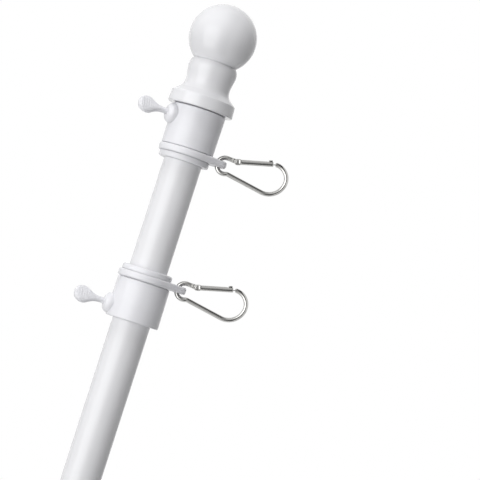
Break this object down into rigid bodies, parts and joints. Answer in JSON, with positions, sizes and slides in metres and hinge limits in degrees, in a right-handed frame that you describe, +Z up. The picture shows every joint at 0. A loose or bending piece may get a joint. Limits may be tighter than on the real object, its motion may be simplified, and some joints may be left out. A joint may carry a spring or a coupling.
{
  "type": "flagpole",
  "caption": "White sectional house flagpole with a ball finial and swivelling thumb-screw clips that carry spring-gate hooks.",
  "frame": {"origin": "centre of the foot's flat face", "axes": "+Z up the pole, +X the way both hooks point, +Y away from the viewer of the picture"},
  "size_m": [0.1103, 0.0446, 1.5996],
  "materials": {
    "white_enamel": "gloss",
    "finial_plastic": "gloss",
    "clip_plastic": "satin",
    "bright_metal": "polished"
  },
  "bodies": {
    "pole": {"pole_lower_section": "white_enamel", "pole_middle_section": "white_enamel", "pole_upper_section": "white_enamel", "foot_plug": "clip_plastic", "finial_base": "finial_plastic", "finial_ball": "finial_plastic"},
    "upper_clip": {"upper_collar": "clip_plastic", "upper_retaining_lip": "clip_plastic"},
    "upper_swivel": {"upper_swivel_ring": "clip_plastic"},
    "upper_screw": {"upper_thumb_screw": "clip_plastic"},
    "upper_hook": {"upper_carabiner_hook": "bright_metal", "upper_gate_rivet": "bright_metal"},
    "upper_gate": {"upper_carabiner_gate": "bright_metal"},
    "lower_clip": {"lower_collar": "clip_plastic", "lower_retaining_lip": "clip_plastic"},
    "lower_swivel": {"lower_swivel_ring": "clip_plastic"},
    "lower_screw": {"lower_thumb_screw": "clip_plastic"},
    "lower_hook": {"lower_carabiner_hook": "bright_metal", "lower_gate_rivet": "bright_metal"},
    "lower_gate": {"lower_carabiner_gate": "bright_metal"}
  },
  "joints": [
    {"name": "upper_clip_slide", "type": "slide", "parent": "pole", "child": "upper_clip", "axis": [0, 0, -1], "range_m": [0, 0.055]},
    {"name": "upper_ring_spin", "type": "hinge", "parent": "upper_clip", "child": "upper_swivel", "pos_m": [0, 0, 1.4983], "axis": [0, 0, 1], "continuous": true},
    {"name": "upper_screw_turn", "type": "hinge", "parent": "upper_clip", "child": "upper_screw", "pos_m": [0, 0, 1.5199], "axis": [-0.9171, -0.3987, 0], "range_deg": [0, 720]},
    {"name": "upper_hook_swing", "type": "hinge", "parent": "upper_swivel", "child": "upper_hook", "pos_m": [0.0268, 0, 1.4983], "axis": [0, 1, 0], "range_deg": [-60, 75]},
    {"name": "upper_gate_open", "type": "hinge", "parent": "upper_hook", "child": "upper_gate", "pos_m": [0.0336, 0, 1.50315], "axis": [0, 1, 0], "range_deg": [0, 28], "stiffness_Nm_per_rad": 0.02, "springref_deg": -34.38},
    {"name": "lower_clip_slide", "type": "slide", "parent": "pole", "child": "lower_clip", "axis": [0, 0, -1], "range_m": [0, 1]},
    {"name": "lower_ring_spin", "type": "hinge", "parent": "lower_clip", "child": "lower_swivel", "pos_m": [0, 0, 1.4124], "axis": [0, 0, 1], "continuous": true},
    {"name": "lower_screw_turn", "type": "hinge", "parent": "lower_clip", "child": "lower_screw", "pos_m": [0, 0, 1.3908], "axis": [-0.9703, -0.2419, 0], "range_deg": [0, 720]},
    {"name": "lower_hook_swing", "type": "hinge", "parent": "lower_swivel", "child": "lower_hook", "pos_m": [0.0268, 0, 1.4124], "axis": [0, 1, 0], "range_deg": [-60, 75]},
    {"name": "lower_gate_open", "type": "hinge", "parent": "lower_hook", "child": "lower_gate", "pos_m": [0.0336, 0, 1.41725], "axis": [0, 1, 0], "range_deg": [0, 28], "stiffness_Nm_per_rad": 0.02, "springref_deg": -34.38}
  ]
}
